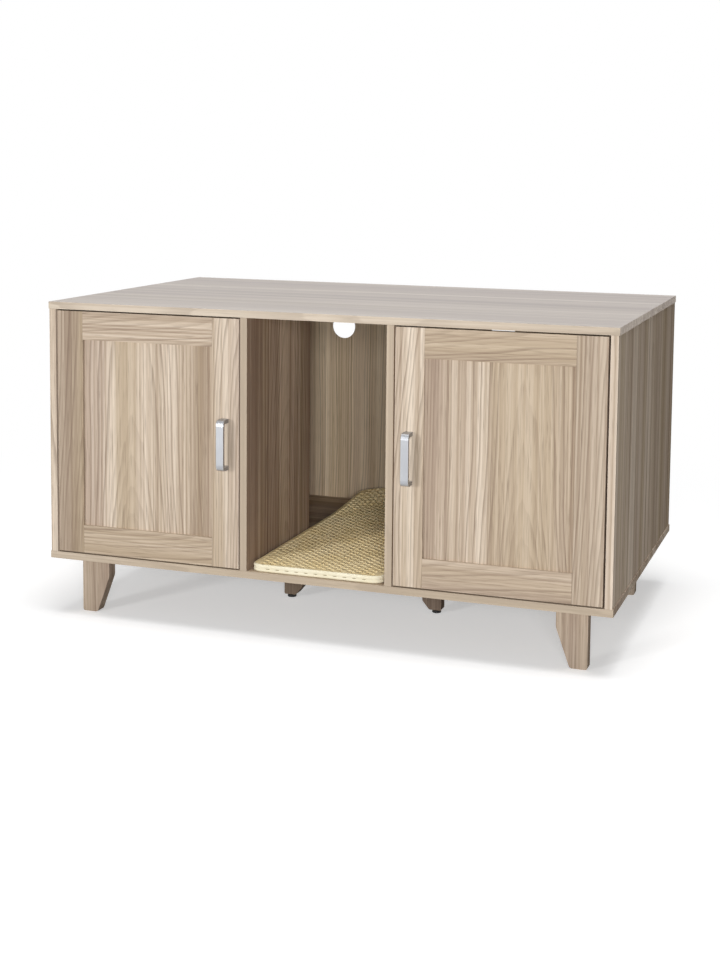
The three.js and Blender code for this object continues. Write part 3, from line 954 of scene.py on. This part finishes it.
@dataclass
class LitterMat:
    """Two-layer honeycomb foam mat: flat at the front, its rear lifting behind a diagonal fold.

    The edge's section gives how far each line of it is drawn in, and its height, in millimetres.
    """

    half_width: float = 144.0 * MM
    aside: float = 3.0 * MM
    fold_left: float = 465.0 * MM
    fold_right: float = 620.0 * MM
    fold_reach: float = 88.0 * MM
    rise_left: float = 16.0 * MM
    rise_right: float = 24.0 * MM
    rise_reach: float = 60.0 * MM
    curl_power: float = 1.4
    thickness: float = 15.0 * MM
    lower: float = 5.0 * MM
    corner: float = 24.0 * MM
    rim: float = 3.3 * MM
    columns: int = 13
    rows: int = 37
    hole_share: float = 0.76
    hole_corner: float = 0.35
    ease: float = 0.3 * MM
    places_per_mm: int = 50
    slab_rows: int = 120
    edge_section: tuple[Flat, ...] = (
        (2.9, 0.05), (1.6, 0.05), (0.5, 0.9), (0.0, 2.6), (0.1, 4.4), (0.9, 6.0), (0.9, 7.2),
        (0.1, 8.6), (0.0, 10.0), (0.15, 11.6), (0.6, 13.0), (1.3, 14.1), (2.1, 14.8), (2.9, 15.0),
    )
    stitch_length: float = 9.0 * MM
    stitch_pitch: float = 21.0 * MM
    stitch_radius: float = 0.6 * MM
    stitch_inset: float = 0.7 * MM
    stitch_places: tuple[float, ...] = (-1, -0.7, 0, 0.7, 1)
    stitch_fullness: float = 1.04
    stitch_sides: int = 8
    seam_height: float = 6.6 * MM
    smooth_angle: float = 60.0

    def __post_init__(self) -> None:
        """Works out where the mat lies from the CAD mat."""
        low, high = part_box("mat_binding")
        board_low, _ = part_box("bottom_panel")
        self.base = low.z
        self.middle = (low.x + high.x) / 2 - self.aside
        self.front = low.y
        self.set_back = low.y - board_low.y
        self.length = high.y - low.y
        self.cell_x = (self.half_width - self.rim) / self.columns
        self.cell_y = (self.length - 2 * self.rim) / self.rows
        self.layer_gap = self.rim / 10

    def bent(self, across: float, along: float, height: float) -> Vector:
        """Takes a point of the flat mat to where it lies, its rear edge lifting off the board.

        Args:
            across: Distance from the middle line.
            along: Distance from the front edge.
            height: Height above the underside.

        Returns:
            The point in the part's frame.
        """
        from_left = across + self.half_width
        fold = self._between(self.fold_left, self.fold_right, from_left / self.fold_reach) - self.set_back
        rise = self._between(self.rise_left, self.rise_right, from_left / self.rise_reach)
        share = max(0.0, (along - fold) / (self.length - fold))
        lift = rise * share ** self.curl_power
        return Vector((self.middle + across, self.front + along, self.base + height + lift))

    @staticmethod
    def _between(start: float, end: float, share: float) -> float:
        """A smooth step from start to end."""
        share = min(1.0, max(0.0, share))
        return start + (end - start) * share * share * (3 - 2 * share)

    def _eased_corner(self, across: float, along: float) -> Flat:
        """Draws the honeycomb's square corners into the mat's round ones.

        Args:
            across: Distance from the middle line.
            along: Distance from the front edge.

        Returns:
            The same two, moved in where they lie in a corner.
        """
        reach_x = self.half_width - self.corner
        beyond_x = abs(across) - reach_x
        centre = min(max(along, self.corner), self.length - self.corner)
        beyond_y = along - centre
        if beyond_x <= 0 or beyond_y == 0:
            return across, along
        scale = max(beyond_x, abs(beyond_y)) / math.hypot(beyond_x, beyond_y)
        return math.copysign(reach_x + beyond_x * scale, across), centre + beyond_y * scale

    def _cell_outline(self) -> list[Flat]:
        """One cell's six corners and the middles of its sides, round its centre.

        Returns:
            Twelve points as (across, along).
        """
        wide = (self.cell_x ** 2 + (self.cell_y / 2) ** 2) / (2 * self.cell_x)
        narrow = self.cell_x - wide
        half = self.cell_y / 2
        corners = [
            (wide, 0.0), (narrow, half), (-narrow, half), (-wide, 0.0), (-narrow, -half), (narrow, -half)
        ]
        outline = []
        for start, end in zip(corners, corners[1:] + corners[:1]):
            outline.append(start)
            outline.append(((start[0] + end[0]) / 2, (start[1] + end[1]) / 2))
        return outline

    def _hole_outline(self) -> list[Flat]:
        """A cell's hole: its outline made smaller, with its corners rounded off.

        Returns:
            Twelve points as (across, along).
        """
        outline = self._cell_outline()
        mean = sum(math.hypot(x, y) for x, y in outline) / len(outline)
        hole = []
        for x, y in outline:
            reach = math.hypot(x, y)
            rounded = self.hole_corner * reach + (1 - self.hole_corner) * mean
            share = self.hole_share * rounded / reach
            hole.append((x * share, y * share))
        return hole

    def _honeycomb(self, working: bmesh.types.BMesh) -> None:
        """Fills the upper layer with staggered cells, as one closed sheet with holes through it.

        Args:
            working: The bmesh to add to.
        """
        made: dict[tuple[int, int, int], bmesh.types.BMVert] = {}
        under: dict[bmesh.types.BMVert, bmesh.types.BMVert] = {}
        limit = self.half_width - self.rim
        top = self.thickness
        bottom = self.lower + self.layer_gap
        outline = self._cell_outline()
        hole = self._hole_outline()

        def vertex(across: float, along: float, height: float) -> bmesh.types.BMVert:
            """The sheet's vertex at a place, made once.

            Args:
                across: Distance from the middle line.
                along: Distance from the front edge.
                height: Height above the underside.

            Returns:
                The vertex.
            """
            across = max(-limit, min(limit, across))
            along = max(self.rim, min(self.length - self.rim, along))
            key = tuple(round(part / MM * self.places_per_mm) for part in (across, along, height))
            if key not in made:
                made[key] = working.verts.new(self.bent(*self._eased_corner(across, along), height))
            return made[key]

        def band(first: Ring, second: Ring, finish: int) -> None:
            """Joins two rings of a cell.

            Args:
                first: The first ring.
                second: The second ring.
                finish: The number of the faces' material.
            """
            for index in range(len(first)):
                after = (index + 1) % len(first)
                corners = dict.fromkeys((first[index], first[after], second[after], second[index]))
                if len(corners) > 2:
                    working.faces.new(tuple(corners)).material_index = finish

        for column in range(-self.columns, self.columns + 1):
            shift = self.cell_y / 2 * (column % 2)
            for row in range(self.rows + 1):
                across = column * self.cell_x
                along = self.rim + row * self.cell_y + shift
                if along > self.length - self.rim + MM:
                    continue
                upper = [vertex(across + x, along + y, top) for x, y in outline]
                lower = [vertex(across + x, along + y, bottom) for x, y in outline]
                under.update(zip(upper, lower))
                if self._open(across, along):
                    self._pierce(working, (across, along), hole, (upper, lower), (top, bottom), band)
                else:
                    for ring in (upper, lower[::-1]):
                        working.faces.new(tuple(dict.fromkeys(ring)))
        rim = [
            edge for edge in working.edges if edge.is_boundary and all(end in under for end in edge.verts)
        ]
        for edge in rim:
            start, end = edge.verts
            working.faces.new((start, end, under[end], under[start]))

    def _open(self, across: float, along: float) -> bool:
        """True if a cell has room for its hole inside the rim.

        Args:
            across: Distance of its centre from the middle line.
            along: Distance of its centre from the front edge.

        Returns:
            Whether the cell is open.
        """
        margin = self.rim + self.cell_x / 2
        inside = abs(across) < self.half_width - margin and margin < along < self.length - margin
        corner_x = self.half_width - self.corner
        corner_y = self.corner if along < self.length / 2 else self.length - self.corner
        in_corner = abs(across) > corner_x and (along < self.corner or along > self.length - self.corner)
        out = math.hypot(abs(across) - corner_x, along - corner_y)
        return inside and not (in_corner and out > self.cell_x / 2)

    def _pierce(
        self,
        working: bmesh.types.BMesh,
        centre: Flat,
        hole: list[Flat],
        rings: tuple[Ring, Ring],
        heights: Flat,
        band: Callable[[Ring, Ring, int], None],
    ) -> None:
        """Adds a cell's faces round its hole, and the hole's wall.

        Args:
            working: The bmesh to add to.
            centre: The cell's centre on the flat mat.
            hole: The hole's outline round that centre.
            rings: The cell's outline on the sheet's top and underside.
            heights: The heights of the sheet's top and underside.
            band: Joins two rings with faces of one finish.
        """
        upper, lower = rings
        top, bottom = heights

        def ring(height: float, spread: float) -> Ring:
            """The hole's outline at a height, made wider by a factor."""
            return [
                working.verts.new(self.bent(centre[0] + x * spread, centre[1] + y * spread, height))
                for x, y in hole
            ]

        mouth = ring(top, 1.0 + self.ease / self.cell_x)
        throat = ring(top - self.ease, 1.0)
        foot = ring(bottom, 1.0)
        band(upper, mouth, 0)
        band(mouth, throat, 0)
        # The hole's wall and the sheet's underside round the hole take the second material: painted shade.
        band(throat, foot, 1)
        band(foot, lower, 1)

    def _half_width_at(self, along: float, inset: float) -> float:
        """Half the outline's width at a distance from the front edge.

        Args:
            along: The distance from the front edge.
            inset: How far the outline is drawn in.

        Returns:
            Half the width there.
        """
        half = self.half_width - inset
        radius = max(self.corner - inset, 0.0)
        depth = min(along - inset, self.length - inset - along)
        if depth >= radius:
            return half
        lack = radius - max(depth, 0.0)
        return half - radius + math.sqrt(max(radius * radius - lack * lack, 0.0))

    def _base_layer(self, working: bmesh.types.BMesh) -> None:
        """Adds the lower layer as a closed slab that follows the fold.

        Args:
            working: The bmesh to add to.
        """
        inset = self.rim
        strips = []
        for row in range(self.slab_rows + 1):
            along = inset + (self.length - 2 * inset) * row / self.slab_rows
            half = max(self._half_width_at(along, inset), MM)
            strips.append([
                working.verts.new(self.bent(across, along, height))
                for across, height in ((-half, 0.0), (half, 0.0), (half, self.lower), (-half, self.lower))
            ])
        for strip, following in zip(strips, strips[1:]):
            for index in range(4):
                after = (index + 1) % 4
                working.faces.new((strip[index], strip[after], following[after], following[index]))
        working.faces.new(strips[0])
        working.faces.new(strips[-1][::-1])

    def _outline(self, inset: float, corner_steps: int = 8, step: float = 6.0 * MM) -> list[Flat]:
        """The mat's flat plan outline, drawn in by an inset and divided finely enough to bend.

        Args:
            inset: How far it is drawn in.
            corner_steps: How many parts a corner has.
            step: The longest part of a side.

        Returns:
            Points as (across, along), the same number for any inset.
        """
        reach = self.half_width - self.corner
        near, far = self.corner, self.length - self.corner
        radius = self.corner - inset
        corners = ((reach, near, -90), (reach, far, 0), (-reach, far, 90), (-reach, near, 180))
        path = []
        for across, along, start in corners:
            for part in range(corner_steps + 1):
                angle = math.radians(start + 90 * part / corner_steps)
                path.append((across + radius * math.cos(angle), along + radius * math.sin(angle)))
        outline = []
        for index, (start, end) in enumerate(zip(path, path[1:] + path[:1])):
            long_side = index % (corner_steps + 1) == corner_steps
            count = max(1, round(2 * reach / step)) if long_side and abs(start[1] - end[1]) < MM else 1
            if long_side and count == 1:
                count = round((far - near) / step)
            for part in range(count):
                share = part / count
                across = start[0] + (end[0] - start[0]) * share
                outline.append((across, start[1] + (end[1] - start[1]) * share))
        return outline

    def _bound_edge(self, working: bmesh.types.BMesh) -> None:
        """Adds the bound edge: two rounded beads with the seam between them, all round.

        Args:
            working: The bmesh to add to.
        """
        rings = [
            [working.verts.new(self.bent(x, y, height * MM)) for x, y in self._outline(inset * MM)]
            for inset, height in self.edge_section
        ]
        count = len(rings[0])
        for ring, following in zip(rings, rings[1:] + rings[:1]):
            for index in range(count):
                after = (index + 1) % count
                working.faces.new((ring[index], ring[after], following[after], following[index]))

    def _stitches(self, working: bmesh.types.BMesh) -> None:
        """Adds the stitches that lie in the seam of the front and side edges.

        Args:
            working: The bmesh to add to.
        """
        pitch = self.stitch_pitch
        count = int(2 * (self.half_width - self.corner) / pitch)
        starts = [((index - (count - 1) / 2) * pitch, self.stitch_inset, True) for index in range(count)]
        side_count = int((self.fold_left - self.corner) / pitch)
        for side in (-1.0, 1.0):
            edge = side * (self.half_width - self.stitch_inset)
            starts += [(edge, self.corner + (row + 0.5) * pitch, False) for row in range(side_count)]
        half = self.stitch_length / 2
        profile = [
            (self.stitch_radius * math.sqrt(self.stitch_fullness - part * part), half * part)
            for part in self.stitch_places
        ]
        for across, along, lengthways in starts:
            axis = Vector((1, 0, 0)) if lengthways else Vector((0, 1, 0))
            seam = self.bent(across, along, self.seam_height)
            add_disc(working, seam, axis, profile, self.stitch_sides)

    def build(self) -> None:
        """Builds the mat's pieces, which stand for the CAD mat."""
        comb = mesh_object("honeycomb_layer", self._honeycomb)
        dress(comb, MAT_FOAM.material())
        # The second material is the painted shade of the holes.
        comb.data.materials.append(MAT_HOLE_SHADE.material())
        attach(comb, "mat")
        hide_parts("mat_upper_layer")

        base = mesh_object("base_layer", self._base_layer)
        # The lower layer, seen through the holes, is dark with painted shade.
        dress(base, MAT_HOLE_SHADE.material())
        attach(base, "mat")
        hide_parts("mat_lower_layer")

        edge = mesh_object("bound_edge", self._bound_edge)
        dress(edge, MAT_EDGE.material())
        shade_smooth(edge, self.smooth_angle)
        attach(edge, "mat")
        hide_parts("mat_binding")

        stitches = mesh_object("seam_stitches", self._stitches)
        dress(stitches, STITCH_THREAD.material())
        shade_smooth(stitches, self.smooth_angle)
        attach(stitches, "mat")
        LOG.info("mat built: %d honeycomb faces", len(comb.data.polygons))


@dataclass(frozen=True)
class Lamp:
    """One soft square lamp."""

    name: str
    place: Point
    target: Point
    size: float
    power: float

    def build(self) -> None:
        """Adds the lamp, turned to its target."""
        data = bpy.data.lights.new(self.name, "AREA")
        data.size = self.size
        data.energy = self.power
        lamp = bpy.data.objects.new(self.name, data)
        bpy.context.scene.collection.objects.link(lamp)
        lamp.location = self.place
        direction = Vector(self.target) - Vector(self.place)
        lamp.rotation_euler = direction.to_track_quat("-Z", "Y").to_euler()


@dataclass
class Studio:
    """Pale floor, soft light, and a camera at the photograph's viewing angle."""

    camera_place: Point = (1.1012, -3.1640, 0.9902)
    yaw: float = math.radians(-18.955)
    pitch: float = math.radians(5.379)
    roll: float = math.radians(0.587)
    focal_px: float = 1520.0
    principal_px: Flat = (380.0, 300.0)
    picture_px: Flat = (720.0, 960.0)
    sensor_mm: float = 36.0
    floor_size: float = 14.0
    white: Colour = (1.0, 1.0, 1.0)
    floor_tones: tuple[Colour, Colour] = ((0.40, 0.40, 0.40), (0.38, 0.38, 0.385))
    floor_clouds: Flat = (3.0, 0.2)
    floor_roughness: float = 0.8
    shown_floor: Colour = (0.85, 0.85, 0.85)
    floor_glow: float = 0.38
    floor_fade: Flat = (0.9, 2.0)
    sky: Colour = (0.96, 0.98, 1.0)
    surround: float = 0.18
    lamps: tuple[Lamp, ...] = (
        Lamp("key", (-2.0, -4.1, 1.1), (0.0, 0.0, 0.4), 0.6, 64.0),
        Lamp("fill", (1.5, -4.1, 1.0), (0.0, 0.0, 0.4), 1.1, 88.0),
        Lamp("overhead", (0.7, -0.6, 12.0), (0.0, 0.0, 0.5), 5.5, 800.0),
    )

    def _camera(self) -> None:
        """Places the camera."""
        data = bpy.data.cameras.new("camera")
        data.sensor_width = self.sensor_mm
        data.sensor_fit = "AUTO"
        width, height = self.picture_px
        data.lens = self.focal_px * self.sensor_mm / height
        data.shift_x = (width / 2 - self.principal_px[0]) / height
        data.shift_y = (self.principal_px[1] - height / 2) / height
        camera = bpy.data.objects.new("camera", data)
        bpy.context.scene.collection.objects.link(camera)
        forward = Vector((
            math.sin(self.yaw) * math.cos(self.pitch),
            math.cos(self.yaw) * math.cos(self.pitch),
            -math.sin(self.pitch),
        ))
        right = Vector((math.cos(self.yaw), -math.sin(self.yaw), 0.0))
        up = right.cross(forward)
        rolled = math.cos(self.roll) * right + math.sin(self.roll) * up
        rolled_up = -math.sin(self.roll) * right + math.cos(self.roll) * up
        turn = Matrix((rolled, rolled_up, -forward)).transposed()
        camera.matrix_world = Matrix.Translation(self.camera_place) @ turn.to_4x4()
        bpy.context.scene.camera = camera

    def _floor(self) -> None:
        """Adds the floor, white to the camera and keeping the cabinet's shadow."""

        def fill(working: bmesh.types.BMesh) -> None:
            """Adds one large square.

            Args:
                working: The bmesh to add to.
            """
            half = self.floor_size / 2
            corners = ((-half, -half), (half, -half), (half, half), (-half, half))
            working.faces.new([working.verts.new((x, y, 0.0)) for x, y in corners])

        floor = mesh_object("floor", fill)
        shader = Shader("pale_floor")
        scale, share = self.floor_clouds
        cloud = shader.noise(shader.stretched(EVEN), scale)
        tone = shader.blend(cloud * share, *self.floor_tones)
        shader.set(Base_Color=tone, Roughness=self.floor_roughness)
        plain = Signal(shader, shader.surface.outputs["BSDF"])
        shown = shader.node("ShaderNodeBsdfPrincipled", {}, {
            "Base Color": self.shown_floor,
            "Roughness": self.floor_roughness,
            "Specular IOR Level": 0.0,
            "Emission Color": self.white,
            "Emission Strength": self.floor_glow,
        })
        bright = shader.node("ShaderNodeEmission", {}, {"Color": self.white, "Strength": 1.0})
        x, y, _ = shader.split(shader.place())
        away = ((x * x + y * y) ** 0.5).ramp(*self.floor_fade)
        shown = shader.node("ShaderNodeMixShader", {}, {0: away, 1: shown, 2: bright})
        mixed = shader.node("ShaderNodeMixShader", {}, {0: shader.seen_directly(), 1: plain, 2: shown})
        shader.feed(shader.output.inputs["Surface"], mixed)
        dress(floor, shader.material)

    def _world(self) -> None:
        """Sets a pale surround, white where the camera and reflections see it."""
        world = bpy.data.worlds.new("surround")
        world.use_nodes = True
        bpy.context.scene.world = world
        nodes = Nodes(world.node_tree)
        light = nodes.node("ShaderNodeBackground", {}, {"Color": self.sky, "Strength": self.surround})
        white = nodes.node("ShaderNodeBackground", {}, {"Color": self.white, "Strength": 1.0})
        mixed = nodes.node("ShaderNodeMixShader", {}, {0: nodes.seen_directly(), 1: light, 2: white})
        nodes.finish("ShaderNodeOutputWorld", mixed)

    def build(self) -> None:
        """Builds the studio."""
        bpy.context.scene.view_settings.view_transform = "Standard"
        self._camera()
        self._floor()
        self._world()
        for lamp in self.lamps:
            lamp.build()
        LOG.info("studio built")


def main() -> None:
    """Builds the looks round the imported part."""
    logging.basicConfig(level=logging.INFO, format="%(name)s: %(message)s")
    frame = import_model()
    Studio().build()
    BoardDressing(frame["nodes"]).build()
    Hardware(frame["nodes"]).build()
    CamLocks().build()
    LitterMat().build()


if __name__ == "__main__":
    main()
